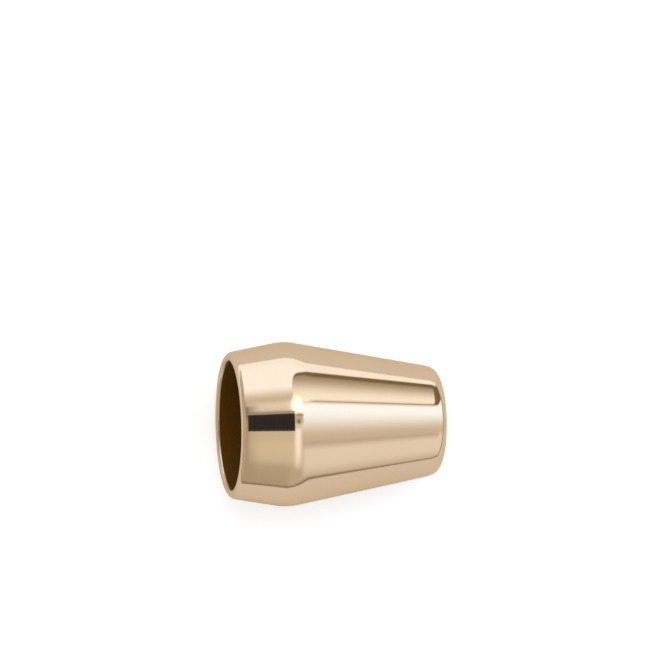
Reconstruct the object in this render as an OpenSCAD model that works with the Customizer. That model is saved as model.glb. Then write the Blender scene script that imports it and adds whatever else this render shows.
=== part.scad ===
// Bell-shaped cord end: one hollow turned casting, lying on its side.
// A cord comes in at the small end and its knot hides in the cavity behind the mouth.
// The casting is worked out along its own axis first, from the small end to the mouth.
// It is then laid on its long taper, mouth towards -X, with +Z up and the origin
// under the middle of its bounding box.

/* [Outside] */
// Length along the axis, from the small end's face to the mouth
body_length = 18; // [16:0.5:24]
// Radius where the long taper would meet the small end's face
small_end_radius = 4.5; // [4.2:0.05:5]
// Distance of the shoulder from the small end's face
shoulder_distance = 13.15; // [11:0.05:14]
// Radius where the two tapers would meet at the shoulder
shoulder_radius = 7; // [6.5:0.05:8]
// Radius where the short taper would meet the mouth's plane
mouth_outer_radius = 6.15; // [6:0.05:6.5]

/* [Polished edges] */
// Radius of the blend over the shoulder
shoulder_round = 4.8; // [2:0.1:6]
// Radius of the small end's outer edge
small_end_round = 0.82; // [0.4:0.02:1]
// Radius of the mouth's outer edge
lip_round = 0.5; // [0.3:0.05:0.5]
// Radius of the mouth's inner edge
lip_inner_round = 0.25; // [0.1:0.05:0.25]

/* [Inside] */
// Radius of the cavity at the mouth
mouth_radius = 5.45; // [5.2:0.05:5.45]
// Radius of the cavity at its floor
floor_radius = 4; // [3.8:0.05:4.1]
// Radius of the fillet between the cavity's wall and its floor
floor_round = 0.4; // [0.2:0.05:0.5]
// Thickness of the end wall that the cord goes through
end_wall = 2.4; // [2:0.1:3]
// Radius of the cord hole at the small end's face
cord_hole_radius = 3.1; // [3:0.05:3.15]
// How much wider the cord hole is at the cavity's floor, so that the casting's core draws out
cord_hole_draft = 0.05; // [0.02:0.01:0.1]
// Radius of the cord hole's outer edge
cord_hole_round = 0.3; // [0.2:0.05:0.3]

/* [Hidden] */
$fn = 128;

// How far a cutting shape runs past the metal it cuts
overshoot = 1;

// How much larger a rounding arc is cut, so that it crosses the straight lines cleanly
arc_overlap = 0.00002;

// The sharp corners of the section, as [radius, distance from the small end's face]
small_corner = [small_end_radius, 0];
shoulder_corner = [shoulder_radius, shoulder_distance];
mouth_corner = [mouth_outer_radius, body_length];
mouth_inner_corner = [mouth_radius, body_length];
floor_corner = [floor_radius, end_wall];
floor_center = [0, end_wall];
hole_corner = [cord_hole_radius, 0];
hole_inner_corner = [cord_hole_radius + cord_hole_draft, end_wall];

// Angle between the long taper and the axis, which is also the axis's tilt at rest
taper_angle = atan((shoulder_radius - small_end_radius) / shoulder_distance);

function unit(v) = v / norm(v);

// Direction from corner b into the angle between its neighbours a and c
function bisector(a, b, c) = unit(unit(a - b) + unit(c - b));

// Half of the angle at corner b
function half_angle(a, b, c) = acos(unit(a - b) * unit(c - b)) / 2;

// Centre of the arc that rounds corner b
function arc_center(a, b, c, radius) =
    b + bisector(a, b, c) * radius / sin(half_angle(a, b, c));

// Point where that arc leaves the straight line from b towards a
function arc_start(a, b, c, radius) =
    b + unit(a - b) * radius / tan(half_angle(a, b, c));

// The sliver between the sharp corner b and its arc, and a little more outside it
module corner_waste(a, b, c, radius) {
    center = arc_center(a, b, c, radius);
    outer = b - bisector(a, b, c) * radius;
    difference() {
        polygon([arc_start(a, b, c, radius), outer, arc_start(c, b, a, radius), center]);
        translate(center) circle(radius + arc_overlap);
    }
}

// Half section of the whole body without its hollow, with round outer edges
module outside_section() {
    mouth_center = [0, body_length];
    difference() {
        polygon([[0, 0], small_corner, shoulder_corner, mouth_corner, mouth_center]);
        corner_waste([0, 0], small_corner, shoulder_corner, small_end_round);
        corner_waste(small_corner, shoulder_corner, mouth_corner, shoulder_round);
        corner_waste(shoulder_corner, mouth_corner, mouth_center, lip_round);
    }
}

// Half section of the tapered cavity, with a fillet round its floor
module cavity_section() {
    beyond = mouth_inner_corner + unit(mouth_inner_corner - floor_corner) * overshoot;
    difference() {
        polygon([floor_center, floor_corner, beyond, [0, beyond.y]]);
        corner_waste(floor_center, floor_corner, mouth_inner_corner, floor_round);
    }
}

// Half section of the cord hole through the end wall
module cord_hole_section() {
    further = unit(hole_inner_corner - hole_corner) * overshoot;
    below = hole_corner - further;
    above = hole_inner_corner + further;
    polygon([[0, below.y], below, above, [0, above.y]]);
}

// Half section of the metal, seen on the right of the axis
module metal_section() {
    difference() {
        outside_section();
        cavity_section();
        cord_hole_section();
        corner_waste(hole_inner_corner, hole_corner, small_corner, cord_hole_round);
        corner_waste(mouth_corner, mouth_inner_corner, floor_corner, lip_inner_round);
    }
}

// Distance of the lying part's furthest point from the small end's centre,
// along the floor and away from the mouth's side when side is -1, or with it when 1
function floor_reach(center, radius, side) =
    center.y * cos(taper_angle) + side * (center.x * sin(taper_angle) + radius);

// Turns the body from its own axis onto its long taper, mouth towards -X
module lay_on_taper() {
    lip_center = arc_center(shoulder_corner, mouth_corner, [0, body_length], lip_round);
    end_center = arc_center([0, 0], small_corner, shoulder_corner, small_end_round);
    mouth_reach = floor_reach(lip_center, lip_round, 1);
    end_reach = floor_reach(end_center, small_end_round, -1);
    translate([(mouth_reach + end_reach) / 2, 0, small_end_radius * cos(taper_angle)])
        rotate([0, taper_angle - 90, 0])
            children();
}

module cord_end() {
    color([0.86, 0.70, 0.47])
        lay_on_taper() rotate_extrude() metal_section();
}

cord_end();
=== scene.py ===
# %% [markdown]
# # A cord end in polished gold plate
#
# A cord end is the small metal bell that hides the knot of a drawcord. This one is cast hollow,
# polished to a mirror and plated with light gold. It lies on its long taper on a white table.
# The lesson builds the same bell again with a section fine enough for mirror polish, gives it
# its finish, and lights it.

# %% Load the CAD frame
import math

import bmesh
import bpy
from mathutils import Matrix, Vector


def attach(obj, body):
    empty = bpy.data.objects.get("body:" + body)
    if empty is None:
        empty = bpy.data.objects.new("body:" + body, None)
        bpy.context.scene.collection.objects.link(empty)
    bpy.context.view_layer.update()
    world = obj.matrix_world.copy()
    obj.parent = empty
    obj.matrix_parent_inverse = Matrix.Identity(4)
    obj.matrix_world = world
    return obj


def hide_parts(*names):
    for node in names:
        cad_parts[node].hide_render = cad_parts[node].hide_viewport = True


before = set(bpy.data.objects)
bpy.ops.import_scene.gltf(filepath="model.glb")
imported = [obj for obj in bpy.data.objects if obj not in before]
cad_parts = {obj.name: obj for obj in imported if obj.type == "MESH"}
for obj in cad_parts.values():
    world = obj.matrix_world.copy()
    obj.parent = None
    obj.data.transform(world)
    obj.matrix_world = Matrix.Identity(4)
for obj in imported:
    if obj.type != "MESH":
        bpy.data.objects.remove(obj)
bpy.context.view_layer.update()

MM = 0.001

# %% [markdown]
# ## The section of the bell
#
# The real bell is a turned form, so half of its section says all there is to say about it. It
# could be drawn as a curve and screwed round, or modelled on a cylinder. Here one vertex is
# walked round the section: extruded along each straight run, and spun round the centre of each
# rounded corner. A spun corner is a true arc, tangent at both ends, and a mirror finish shows
# at once where a corner is anything else.
#
# Polishing leaves soft bends beside the sharp corners. There is one before the small end's edge
# and one before the lip. Each is about a tenth of a millimetre deep, and shows only because the
# reflections bend there.
#
# X is the radius and Z the distance from the small end's face, both in millimetres for now.

# %% The corners of the section
small_end_radius = 4.5
shoulder_radius = 7.0
shoulder_distance = 13.15
body_length = 18.0
mouth_radius = 5.45
floor_radius = 4.0
end_wall = 2.4
corners = [
    # name, radius, distance, rounding, longest straight piece on the way to it
    ("small end's outer edge", 4.437, 0, 1.15, 0.3),
    ("polished run-out of that edge", 4.7186, 1.15, 5, 0.2),
    ("shoulder", shoulder_radius, shoulder_distance, 4.8, 0.5),
    ("dip before the lip", 6.343, 16.9, 30, 0.4),
    ("mouth's outer edge", 6.118, body_length, 0.5, 0.3),
    ("mouth's inner edge", mouth_radius, body_length, 0.25, 0.3),
    ("cavity floor's fillet", floor_radius, end_wall, 0.4, 1.0),
    ("hole's inner edge", 3.15, end_wall, 0.08, 0.3),
    ("hole's outer edge", 3.1, 0, 0.3, 0.6),
]
print(len(corners), "corners, all of them rounded")

# %% The arc that rounds one corner
def corner_arc(before, corner, after, rounding):
    """Centre, first point and signed turning angle of the arc inside a corner."""
    back = (before - corner).normalized()
    ahead = (after - corner).normalized()
    half = back.angle(ahead) / 2
    centre = corner + (back + ahead).normalized() * (rounding / math.sin(half))
    first = corner + back * (rounding / math.tan(half))
    side = -1 if back.cross(ahead).y > 0 else 1
    return centre, first, side * (math.pi - 2 * half)

# %% The arcs of all corners
points = [Vector((radius, 0, distance)) for _, radius, distance, _, _ in corners]
arcs = []
for i, (_, _, _, rounding, _) in enumerate(corners):
    arcs.append(corner_arc(points[i - 1], points[i], points[(i + 1) % len(points)], rounding))
print("whole turn:", round(math.degrees(sum(turn for _, _, turn in arcs)), 3), "degrees")

# %% Walk one vertex round the section
WIDE_ARC_STEP = 1.6     # degrees, for arcs of more than 1 mm, which carry the reflections
EDGE_ARC_STEP = 6.0     # degrees, for the small edges
SAME_POINT = 0.0005     # mm
section = bmesh.new()
last_centre, last_first, last_turn = arcs[-1]
start = Matrix.Rotation(last_turn, 3, "Y") @ (last_first - last_centre) + last_centre
walker = section.verts.new(start)
for (name, _, _, rounding, longest), (centre, first, turn) in zip(corners, arcs):
    way = first - walker.co
    pieces = max(1, math.ceil(way.length / longest))
    for _ in range(pieces):
        walker = bmesh.ops.extrude_vert_indiv(section, verts=[walker])["verts"][0]
        bmesh.ops.translate(section, vec=way / pieces, verts=[walker])
    arc_step = WIDE_ARC_STEP if rounding > 1 else EDGE_ARC_STEP
    steps = max(4, math.ceil(math.degrees(abs(turn)) / arc_step))
    spun = bmesh.ops.spin(section, geom=[walker], cent=centre, axis=(0, 1, 0), angle=turn,
                          steps=steps, use_merge=False, use_duplicate=False)
    walker = next(item for item in spun["geom_last"] if isinstance(item, bmesh.types.BMVert))
    print(f"{name}: {steps} steps over {math.degrees(turn):.1f} degrees")
bmesh.ops.remove_doubles(section, verts=section.verts[:], dist=SAME_POINT)
print("section:", len(section.verts), "points,", len(section.edges), "edges")

# %% [markdown]
# ## The bell itself
#
# The section is spun once round the axis in 256 steps. The full spin joins its last step to its
# first, so there is no seam. More steps would only make the file larger: smooth shading already
# hides facets this narrow, even in a mirror.

# %% Spin the section into the bell
STEPS = 256
bmesh.ops.spin(section, geom=section.verts[:] + section.edges[:], cent=(0, 0, 0), axis=(0, 0, 1),
               angle=2 * math.pi, steps=STEPS, use_merge=True, use_duplicate=False)
bmesh.ops.remove_doubles(section, verts=section.verts[:], dist=SAME_POINT)
bmesh.ops.recalc_face_normals(section, faces=section.faces[:])
open_edges = [edge for edge in section.edges if len(edge.link_faces) != 2]
print("bell:", len(section.faces), "faces,", len(open_edges), "open edges,",
      round(section.calc_volume(), 1), "mm3")

# %% [markdown]
# ## Laid on its long taper
#
# A bell put down on a table rolls onto its long taper, which raises the mouth by the taper's own
# angle. The mesh is turned and moved, not the object, because the object has to stay at the
# origin, where the CAD model's is.

# %% Turn and move the mesh
taper = math.atan((shoulder_radius - small_end_radius) / shoulder_distance)
lie_down = Matrix.Rotation(taper - math.pi / 2, 4, "Y")
bmesh.ops.transform(section, matrix=lie_down, verts=section.verts[:])
low_x = min(vert.co.x for vert in section.verts)
high_x = max(vert.co.x for vert in section.verts)
low_z = min(vert.co.z for vert in section.verts)
small_end_centre = Vector((-(low_x + high_x) / 2, 0, -low_z))
bmesh.ops.translate(section, vec=small_end_centre, verts=section.verts[:])
bmesh.ops.scale(section, vec=(MM, MM, MM), verts=section.verts[:])
for face in section.faces:
    face.smooth = True

bell_mesh = bpy.data.meshes.new("cord_end_bell")
section.to_mesh(bell_mesh)
section.free()
bell = bpy.data.objects.new("cord_end_bell", bell_mesh)
bpy.context.collection.objects.link(bell)
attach(bell, "root")
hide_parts("cord_end")
print("taper:", round(math.degrees(taper), 3), "degrees; small end's centre in mm:",
      [round(v, 4) for v in small_end_centre])

# %% [markdown]
# ## Light gold plate
#
# Plated metal is a mirror with a colour, so the colour, the sharpness of its reflections and the
# small faults of the polish are all the finish there is. The material is built up from those
# three. The helpers come first, because a node tree in code is mostly the same few lines.

# %% Helpers for nodes and sums
def node(tree, kind, **settings):
    """Adds a node and sets its properties."""
    new = tree.nodes.new(kind)
    for key, value in settings.items():
        setattr(new, key, value)
    return new


def math_node(tree, operation, first, second=None):
    """A Math node whose inputs are sockets or numbers."""
    new = node(tree, "ShaderNodeMath", operation=operation)
    for socket, value in zip(new.inputs, (first, second)):
        if isinstance(value, bpy.types.NodeSocket):
            tree.links.new(value, socket)
        elif value is not None:
            socket.default_value = value
    return new.outputs[0]

# %% Helpers for ranges, colours and vectors
def map_range(tree, value, from_min, from_max, to_min=0.0, to_max=1.0, smooth=False):
    """A Map Range node from a socket."""
    new = node(tree, "ShaderNodeMapRange",
               interpolation_type="SMOOTHSTEP" if smooth else "LINEAR")
    tree.links.new(value, new.inputs["Value"])
    for name, number in (("From Min", from_min), ("From Max", from_max),
                         ("To Min", to_min), ("To Max", to_max)):
        new.inputs[name].default_value = number
    return new.outputs["Result"]


def mix_colours(tree, factor, first, second):
    """A Mix node for colours, whose inputs are sockets or plain values."""
    new = node(tree, "ShaderNodeMix", data_type="RGBA")
    for socket, value in ((new.inputs[0], factor), (new.inputs[6], first), (new.inputs[7], second)):
        if isinstance(value, bpy.types.NodeSocket):
            tree.links.new(value, socket)
        else:
            socket.default_value = value
    return new.outputs[2]


def vector_math(tree, operation, first, second=None):
    """A Vector Math node whose inputs are sockets or plain vectors."""
    new = node(tree, "ShaderNodeVectorMath", operation=operation)
    for socket, value in zip(new.inputs, (first, second)):
        if isinstance(value, bpy.types.NodeSocket):
            tree.links.new(value, socket)
        elif value is not None:
            socket.default_value = value
    return new

# %% [markdown]
# ### The bell's own axes
#
# The bell's patterns run round its axis, which lies askew in the scene. They could be laid on UV
# coordinates, but those would have a seam. A Mapping node turns the Object coordinates instead, so
# that X runs along the axis, from 0 at the small end's face to -18 mm at the mouth.

# %% The gold material
gold = bpy.data.materials.new("light_gold_plate")
gold.use_nodes = True
tree = gold.node_tree
shader = tree.nodes["Principled BSDF"]
shader.inputs["Specular Tint"].default_value = (0.97, 0.84, 0.68, 1)

place = node(tree, "ShaderNodeTexCoord")
along = node(tree, "ShaderNodeMapping", vector_type="TEXTURE")
along.inputs["Location"].default_value = small_end_centre * MM
along.inputs["Rotation"].default_value = (0, taper, 0)
tree.links.new(place.outputs["Object"], along.inputs["Vector"])
print("axes start at", [round(v, 5) for v in along.inputs["Location"].default_value])

# %% [markdown]
# ### The dull cavity
#
# Plating comes out dull in a deep cavity, and there its colour is also darkened as painted shade
# for the recess, so the inside must be told from the outside.
# A second material on the inner faces would end at a ring of edges. A mask from the distance to
# the axis and the depth below the mouth needs no edge there, and its border can be soft.

# %% Where the cavity is
split = node(tree, "ShaderNodeSeparateXYZ")
tree.links.new(along.outputs["Vector"], split.inputs[0])
across = vector_math(tree, "MULTIPLY", along.outputs["Vector"], (0, 1, 1)).outputs[0]
from_axis = vector_math(tree, "LENGTH", across).outputs["Value"]
wall_slope = (mouth_radius - floor_radius) / (body_length - end_wall)
wall_at_face = floor_radius - end_wall * wall_slope
beyond_wall = math_node(tree, "ADD", from_axis,
                        math_node(tree, "MULTIPLY", split.outputs["X"], wall_slope))
within_wall = map_range(tree, beyond_wall, (wall_at_face + 0.10) * MM, (wall_at_face + 0.14) * MM,
                        1, 0)
below_mouth = map_range(tree, split.outputs["X"], -(body_length - 0.22) * MM,
                        -(body_length - 0.32) * MM)
above_face = map_range(tree, split.outputs["X"], -0.3 * MM, -0.2 * MM, 1, 0)
inside = math_node(tree, "MULTIPLY", math_node(tree, "MULTIPLY", within_wall, below_mouth),
                   above_face)
print("cavity wall slopes by", round(wall_slope, 4), "from a radius of", round(wall_at_face, 3))

# %% [markdown]
# ### The colour
#
# Light gold is paler than solid gold, and a plating bath never lays it on quite evenly. One flat
# colour would look printed on, and an image would not go round the form. Noise mixes two golds
# that are close together, and in the cavity two dark browns, which are painted shade.

# %% The colour of the plate
blotch = node(tree, "ShaderNodeTexNoise")
blotch.inputs["Scale"].default_value = 260
blotch.inputs["Detail"].default_value = 3
tree.links.new(along.outputs["Vector"], blotch.inputs["Vector"])
cloudy = blotch.outputs["Fac"]
plate = mix_colours(tree, cloudy, (0.93, 0.672, 0.428, 1), (0.91, 0.648, 0.412, 1))
# The cavity's two dark browns are painted shade for the deep recess.
cavity_painted_shade = mix_colours(tree, cloudy, (0.19, 0.076, 0.003, 1), (0.145, 0.056, 0.002, 1))
tree.links.new(mix_colours(tree, inside, plate, cavity_painted_shade), shader.inputs["Base Color"])
print("gold nodes so far:", len(tree.nodes))

# %% [markdown]
# ### The polish
#
# The polishing wheel ran round the axis and left rings as fine as hairs, so the mirror is a little
# blurred, and not everywhere the same. Noise along the axis alone makes rings, and they only
# change the roughness. The casting below is not quite true, which makes the edges of the
# reflections waver, and the cavity is as rough as it was cast. Both could be cut into the mesh,
# but at hundredths of a millimetre a bump does it better.

# %% Rings, waves and grit
rings_place = node(tree, "ShaderNodeCombineXYZ")
tree.links.new(split.outputs["X"], rings_place.inputs["X"])
rings = node(tree, "ShaderNodeTexNoise")
rings.inputs["Scale"].default_value = 9000
rings.inputs["Detail"].default_value = 4
tree.links.new(rings_place.outputs[0], rings.inputs["Vector"])

wave = node(tree, "ShaderNodeTexNoise")
wave.inputs["Scale"].default_value = 130
wave.inputs["Detail"].default_value = 1.5
tree.links.new(along.outputs["Vector"], wave.inputs["Vector"])

grit = node(tree, "ShaderNodeTexNoise")
grit.inputs["Scale"].default_value = 2500
grit.inputs["Detail"].default_value = 4
tree.links.new(along.outputs["Vector"], grit.inputs["Vector"])
grit_inside = math_node(tree, "MULTIPLY", grit.outputs["Fac"], inside)
print("gold nodes with the patterns:", len(tree.nodes))

# %% Roughness and bump
WAVE_DEPTH = 0.02 * MM
GRIT_DEPTH = 0.03 * MM
polished = map_range(tree, rings.outputs["Fac"], 0.3, 0.7, 0.05, 0.09)
rough = math_node(tree, "ADD", polished, math_node(tree, "MULTIPLY", inside, 0.55))
tree.links.new(rough, shader.inputs["Roughness"])
metallic = math_node(tree, "SUBTRACT", 1.0, math_node(tree, "MULTIPLY", inside, 0.4))
tree.links.new(metallic, shader.inputs["Metallic"])

wave_bump = node(tree, "ShaderNodeBump")
wave_bump.inputs["Distance"].default_value = WAVE_DEPTH
wave_bump.inputs["Strength"].default_value = 1.0
tree.links.new(wave.outputs["Fac"], wave_bump.inputs["Height"])
grit_bump = node(tree, "ShaderNodeBump")
grit_bump.inputs["Distance"].default_value = GRIT_DEPTH
grit_bump.inputs["Strength"].default_value = 1.0
tree.links.new(grit_inside, grit_bump.inputs["Height"])
tree.links.new(wave_bump.outputs["Normal"], grit_bump.inputs["Normal"])
tree.links.new(grit_bump.outputs["Normal"], shader.inputs["Normal"])
bell_mesh.materials.append(gold)
print("gold nodes:", len(tree.nodes))

# %% [markdown]
# ## The white table
#
# Small things are photographed on a little white table inside a tent of white cloth. The table
# ends a few centimetres away: the camera never sees its edge, but the gold does, as the thin
# dark line above the reflected table. Its near edge stands askew, nearer at the mouth's end, which
# the line shows too: it bends at the shoulder more than the bell's own form would make it.
#
# A plane could be scaled to size, but then its corners would be sharp. A grid of one face has its
# corners moved and then bevelled. Its white is lifted a little for the camera alone, as on an
# overexposed picture, so that the ground is white and the soft shadow stays.

# %% Make the table
HALF_TABLE = 56 * MM
FAR_EDGE_SHIFT = -15 * MM
NEAR_LEFT_SHIFT = 21 * MM
NEAR_RIGHT_SHIFT = -49 * MM
CORNER_CUT = 20 * MM
table_form = bmesh.new()
bmesh.ops.create_grid(table_form, x_segments=1, y_segments=1, size=HALF_TABLE)
for vert in table_form.verts[:]:
    if vert.co.y > 0:
        shift = FAR_EDGE_SHIFT
    else:
        shift = NEAR_LEFT_SHIFT if vert.co.x < 0 else NEAR_RIGHT_SHIFT
    bmesh.ops.translate(table_form, vec=(0, shift, 0), verts=[vert])
bmesh.ops.bevel(table_form, geom=table_form.verts[:], offset=CORNER_CUT, segments=8,
                profile=0.5, affect="VERTICES", material=-1)
table_mesh = bpy.data.meshes.new("white_table")
table_form.to_mesh(table_mesh)
table_form.free()
table = bpy.data.objects.new("white_table", table_mesh)
bpy.context.collection.objects.link(table)
print("table:", len(table_mesh.vertices), "points")

# %% The table's white
table_white = bpy.data.materials.new("table_white")
table_white.use_nodes = True
tree = table_white.node_tree
surface = tree.nodes["Principled BSDF"]
surface.inputs["Base Color"].default_value = (0.83, 0.83, 0.83, 1)
surface.inputs["Roughness"].default_value = 0.7
surface.inputs["Specular IOR Level"].default_value = 0.1
surface.inputs["Emission Color"].default_value = (1, 1, 1, 1)
CAMERA_LIFT = 0.465
camera_only = node(tree, "ShaderNodeLightPath").outputs["Is Camera Ray"]
lift = math_node(tree, "MULTIPLY", camera_only, CAMERA_LIFT)
tree.links.new(lift, surface.inputs["Emission Strength"])
table_mesh.materials.append(table_white)
print("table's material:", table_mesh.materials[0].name)

# %% [markdown]
# ## The tent of light
#
# In a mirror finish the light is most of the picture. Lamps and cards could stand round the bell
# as objects, but the tent is far away against a part of 19 mm, so only the direction counts and
# the World can hold it. A direction is written as two angles from straight up, one towards +X
# and one towards +Y. On that map each lit cloth, card or shade is a soft-edged round-cornered
# panel, laid over the ones before it. A panel may lean, and may fade in along the +Y angle.

# %% Angles from straight up
world = bpy.data.worlds.new("light_tent")
bpy.context.scene.world = world
world.use_nodes = True
tree = world.node_tree
ray = node(tree, "ShaderNodeTexCoord").outputs["Generated"]
parts = node(tree, "ShaderNodeSeparateXYZ")
tree.links.new(ray, parts.inputs[0])
from_up = math_node(tree, "MULTIPLY", math_node(tree, "ARCCOSINE", parts.outputs["Z"]),
                    math.degrees(1))
flat = node(tree, "ShaderNodeCombineXYZ")
tree.links.new(parts.outputs["X"], flat.inputs["X"])
tree.links.new(parts.outputs["Y"], flat.inputs["Y"])
heading = vector_math(tree, "NORMALIZE", flat.outputs[0]).outputs[0]
scaled = vector_math(tree, "SCALE", heading)
tree.links.new(from_up, scaled.inputs["Scale"])
angles = scaled.outputs[0]
print("nodes for the angles:", len(tree.nodes))

# %% [markdown]
# ### One soft panel
#
# A cloth or card seen far off is a rectangle with more or less round corners and a more or less
# soft edge. There are two dozen of them, so the mask is made once, as a node group. It measures
# how far a direction lies outside the rectangle, and turns that distance into a soft step.

# %% The sockets of the panel's group
panel_group = bpy.data.node_groups.new("soft_panel", "ShaderNodeTree")
for name, kind in (("Angles", "NodeSocketVector"), ("Centre", "NodeSocketVector"),
                   ("Half Size", "NodeSocketVector"), ("Lean", "NodeSocketFloat"),
                   ("Corner", "NodeSocketFloat"), ("Soft Edge", "NodeSocketFloat"),
                   ("Fade From", "NodeSocketFloat"), ("Fade To", "NodeSocketFloat")):
    panel_group.interface.new_socket(name, in_out="INPUT", socket_type=kind)
panel_group.interface.new_socket("Mask", in_out="OUTPUT", socket_type="NodeSocketFloat")
given = node(panel_group, "NodeGroupInput").outputs
result = node(panel_group, "NodeGroupOutput").inputs
print("sockets:", [item.name for item in panel_group.interface.items_tree])

# %% The panel's shape
away = vector_math(panel_group, "SUBTRACT", given["Angles"], given["Centre"]).outputs[0]
sideways = node(panel_group, "ShaderNodeSeparateXYZ")
panel_group.links.new(away, sideways.inputs[0])
rise = node(panel_group, "ShaderNodeCombineXYZ")
panel_group.links.new(math_node(panel_group, "MULTIPLY", sideways.outputs["X"], given["Lean"]),
                      rise.inputs["Y"])
away = vector_math(panel_group, "SUBTRACT", away, rise.outputs[0]).outputs[0]
away = vector_math(panel_group, "ABSOLUTE", away).outputs[0]
away = vector_math(panel_group, "SUBTRACT", away, given["Half Size"]).outputs[0]
away = vector_math(panel_group, "ADD", away, given["Corner"]).outputs[0]
away = vector_math(panel_group, "MAXIMUM", away, (0, 0, 0)).outputs[0]
away = vector_math(panel_group, "MULTIPLY", away, (1, 1, 0)).outputs[0]
reach = vector_math(panel_group, "LENGTH", away).outputs["Value"]
reach = math_node(panel_group, "SUBTRACT", reach, given["Corner"])
reach = math_node(panel_group, "DIVIDE", reach, given["Soft Edge"])
mask = map_range(panel_group, reach, -1, 1, 1, 0, smooth=True)

# %% The panel's fade
height = node(panel_group, "ShaderNodeSeparateXYZ")
panel_group.links.new(given["Angles"], height.inputs[0])
fade = node(panel_group, "ShaderNodeMapRange", interpolation_type="SMOOTHSTEP")
for name, socket in (("Value", height.outputs["Y"]), ("From Min", given["Fade From"]),
                     ("From Max", given["Fade To"])):
    panel_group.links.new(socket, fade.inputs[name])
mask = math_node(panel_group, "MULTIPLY", mask, fade.outputs["Result"])
panel_group.links.new(mask, result["Mask"])
print("soft panel:", len(panel_group.nodes), "nodes")

# %% [markdown]
# ### The panels
#
# Each line is something that the polish shows: the black card and the lamp beside it on its grey
# holder, the framed cloth above the long taper, the side cloth with its seam, the dark lens, and
# the dim foot of the tent. All could be found by trial, but the bell's own form says where each
# one hangs: on its tapers a millimetre across the axis is some nineteen degrees of the tent.

# %% Hang the panels
panels = [
    # what it is, centre, half size, lean, corner, soft edge, where it fades in, light
    ("dim foot of the tent", (0, -90), (200, 60), 0, 0, 1, (-40, -70), (0.42, 0.40, 0.36)),
    ("low cloth", (80, -56), (52, 30), 0, 6, 10, (-92, -58), (0.84, 0.90, 1.00)),
    ("tent beyond the mouth", (-115, -20), (83, 90), 0, 8, 8, None, (0.50, 0.48, 0.44)),
    ("lit side below the card", (0, -40), (14, 16), 0, 6, 9, None, (0.72, 0.73, 0.70)),
    ("dim wall beside the mouth", (-18, -30), (16, 65), 0, 3, 4.5, None, (0.44, 0.42, 0.38)),
    ("cream cloth", (43, 72), (60, 36), 0, 4, 3, (37, 58), (1.09, 1.27, 1.62)),
    ("haze under the cream cloth", (0, 28), (9, 6), 0, 4, 5, None, (0.72, 0.75, 0.79)),
    ("shade beside the card", (-9, 20), (8, 9), 0, 3, 3.5, None, (0.28, 0.26, 0.23)),
    ("dark frame of the top cloth", (54, 57.4), (44, 24.3), 0.12, 13, 1.5, None,
     (0.20, 0.16, 0.10)),
    ("top cloth in its own shade", (27.9, 50.7), (19.3, 22.4), 0.12, 12, 1.5, None,
     (0.38, 0.35, 0.285)),
    ("top cloth", (27.9, 50.7), (19.3, 22.4), 0.12, 12, 1.5, (74, 38), (1.05, 1.20, 1.36)),
    ("side cloth", (66, -1), (43, 31), 0, 6, 2.4, (-20, 20), (1.08, 1.40, 1.95)),
    ("seam of the side cloth", (38.5, 31), (10.5, 0.8), 0, 0.8, 0.8, None, (0.86, 0.93, 1.14)),
    ("raised end of the side cloth", (69, 30), (21, 9), 0.36, 5, 1.5, None, (1.08, 1.38, 1.90)),
    ("lens", (38.7, -27.7), (12, 4.5), 0, 4, 8, None, (0.53, 0.54, 0.575)),
    ("bright gap at the shoulder", (16.7, -34), (6, 34), 0, 6, 5, (-84, -28), (1.04, 1.18, 1.34)),
    ("lamp", (15.5, 27), (11.2, 11.4), 0, 11, 5, None, (1.60, 1.75, 2.15)),
    ("grey holder's foot", (17.7, -2), (8, 4), 0, 2, 3, None, (0.74, 0.82, 0.90)),
    ("grey holder", (19.7, 8.5), (8, 7), 0, 2, 2, None, (0.56, 0.56, 0.55)),
    ("holder's dark screw", (18.5, 4.2), (2.6, 2.6), 0, 2, 3.5, None, (0.13, 0.12, 0.10)),
    ("holder's dark clamp", (22, 13.3), (6, 0.6), 0, 0.6, 1.5, None, (0.20, 0.19, 0.17)),
    ("card's dark edge", (3.7, 18.6), (7.0, 0.4), 0, 0.4, 0.8, None, (0.10, 0.09, 0.08)),
    ("card's grey upper side", (3.7, 16.9), (7.0, 1.2), 0, 0.4, 0.4, None, (0.42, 0.43, 0.46)),
    ("black card", (3.7, 3.4), (7.0, 12.3), 0, 0.4, 0.5, None, (0.010, 0.012, 0.018)),
]
print("widest panel:", max(2 * half[0] for _, _, half, *_ in panels), "degrees")

# %% Lay each panel over the ones before it
ALWAYS = (-999, -998)     # a fade that is over long before the map begins
light = (0.65, 0.66, 0.64, 1)
for name, centre, half, lean, corner, edge, fades, colour in panels:
    panel = node(tree, "ShaderNodeGroup", node_tree=panel_group, label=name)
    tree.links.new(angles, panel.inputs["Angles"])
    panel.inputs["Centre"].default_value = (*centre, 0)
    panel.inputs["Half Size"].default_value = (*half, 0)
    panel.inputs["Lean"].default_value = lean
    panel.inputs["Corner"].default_value = corner
    panel.inputs["Soft Edge"].default_value = edge
    fade_from, fade_to = fades or ALWAYS
    panel.inputs["Fade From"].default_value = fade_from
    panel.inputs["Fade To"].default_value = fade_to
    light = mix_colours(tree, panel.outputs["Mask"], light, (*colour, 1))
print(len(panels), "panels hang in the tent")

# %% [markdown]
# ### Past the table's edge
#
# Below the horizon the bell sees past the table's edge. On the near side it is dark there, which
# draws the thin line. On the far side the white cloth goes on. The camera itself sees plain white
# beyond the table, in every direction.

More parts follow.
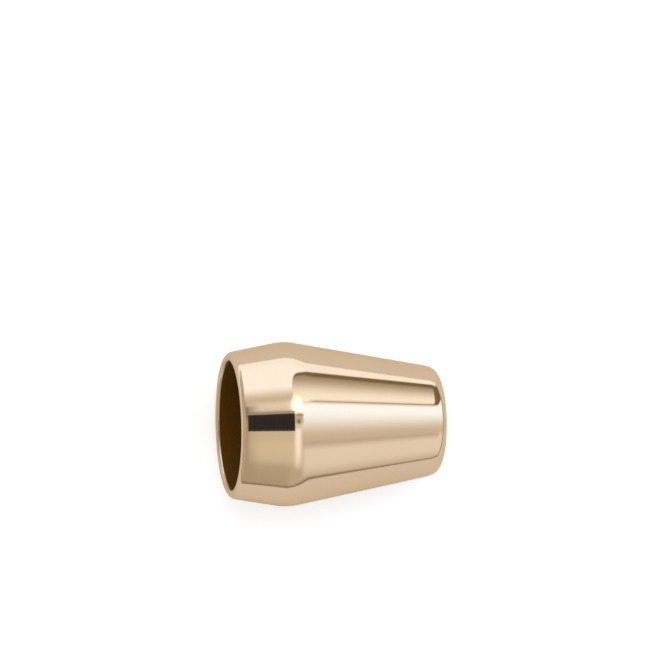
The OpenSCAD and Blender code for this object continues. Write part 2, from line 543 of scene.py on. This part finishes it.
# %% Below the table's edge
mouth_drop = map_range(tree, parts.outputs["X"], 0.05, 0.4, 4, 0, smooth=True)
below = map_range(tree, math_node(tree, "SUBTRACT", from_up, mouth_drop), 90, 94, 0, 1,
                  smooth=True)
far_side = map_range(tree, parts.outputs["Y"], -0.6, 0.2, 0, 1, smooth=True)
small_end_side = map_range(tree, parts.outputs["X"], 0.5, 0.62, 1, 0, smooth=True)
white_side = math_node(tree, "MULTIPLY", far_side, small_end_side)
rim = mix_colours(tree, white_side, (0.30, 0.27, 0.22, 1), (1.05, 1.20, 1.45, 1))
light = mix_colours(tree, below, light, rim)
print("tent nodes so far:", len(tree.nodes))

# %% The white ground behind it all
seen = node(tree, "ShaderNodeLightPath").outputs["Is Camera Ray"]
light = mix_colours(tree, seen, light, (1.05, 1.05, 1.05, 1))
tree.links.new(light, tree.nodes["Background"].inputs["Color"])
tree.nodes["Background"].inputs["Strength"].default_value = 1.0
bpy.context.scene.view_settings.view_transform = "Standard"
bpy.context.scene.view_settings.look = "None"
print("tent nodes:", len(tree.nodes))

# %% [markdown]
# ## One lamp for the shadow
#
# A tent alone makes a shadow so wide that it is hardly one. The soft edge that shows under the
# bell comes from a broad light nearly overhead, a little to the far side. A Sun lamp with a wide
# disc does that. It is kept out of the reflections, where the tent already has its own lamp.

# %% Hang the overhead light
OVERHEAD_LEAN = 12     # degrees, to the far side
overhead_data = bpy.data.lights.new("overhead", "SUN")
overhead_data.energy = 0.6
overhead_data.angle = math.radians(32)
overhead = bpy.data.objects.new("overhead", overhead_data)
overhead.rotation_euler = (math.radians(-OVERHEAD_LEAN), 0, 0)
overhead.visible_glossy = False
bpy.context.collection.objects.link(overhead)
print("overhead light leans", OVERHEAD_LEAN, "degrees to the far side")

# %% [markdown]
# ## The camera
#
# The photograph looks straight down from 75 cm away through a long lens, so the bell is
# seen in plan, with its mouth as a thin ellipse at the left. The ellipse is a little wider than
# a view from exactly above would make it, so the camera leans by nearly a degree towards the
# mouth's side. The bell lies turned by a little more than one degree in the picture, which the
# camera's own turn gives.

# %% Set the camera
CAMERA_LEAN = 0.9     # degrees, towards the mouth's side
CAMERA_TURN = 1.264   # degrees, clockwise
camera_data = bpy.data.cameras.new("camera")
camera_data.angle = math.radians(4.2865)
camera_data.clip_start = 0.01
camera_data.clip_end = 20
camera = bpy.data.objects.new("camera", camera_data)
camera.location = (-0.011454, 0.007891, 0.754907)
camera.rotation_euler = (0, math.radians(-CAMERA_LEAN), math.radians(-CAMERA_TURN))
bpy.context.collection.objects.link(camera)
bpy.context.scene.camera = camera
print("camera:", tuple(round(v, 4) for v in camera.location))
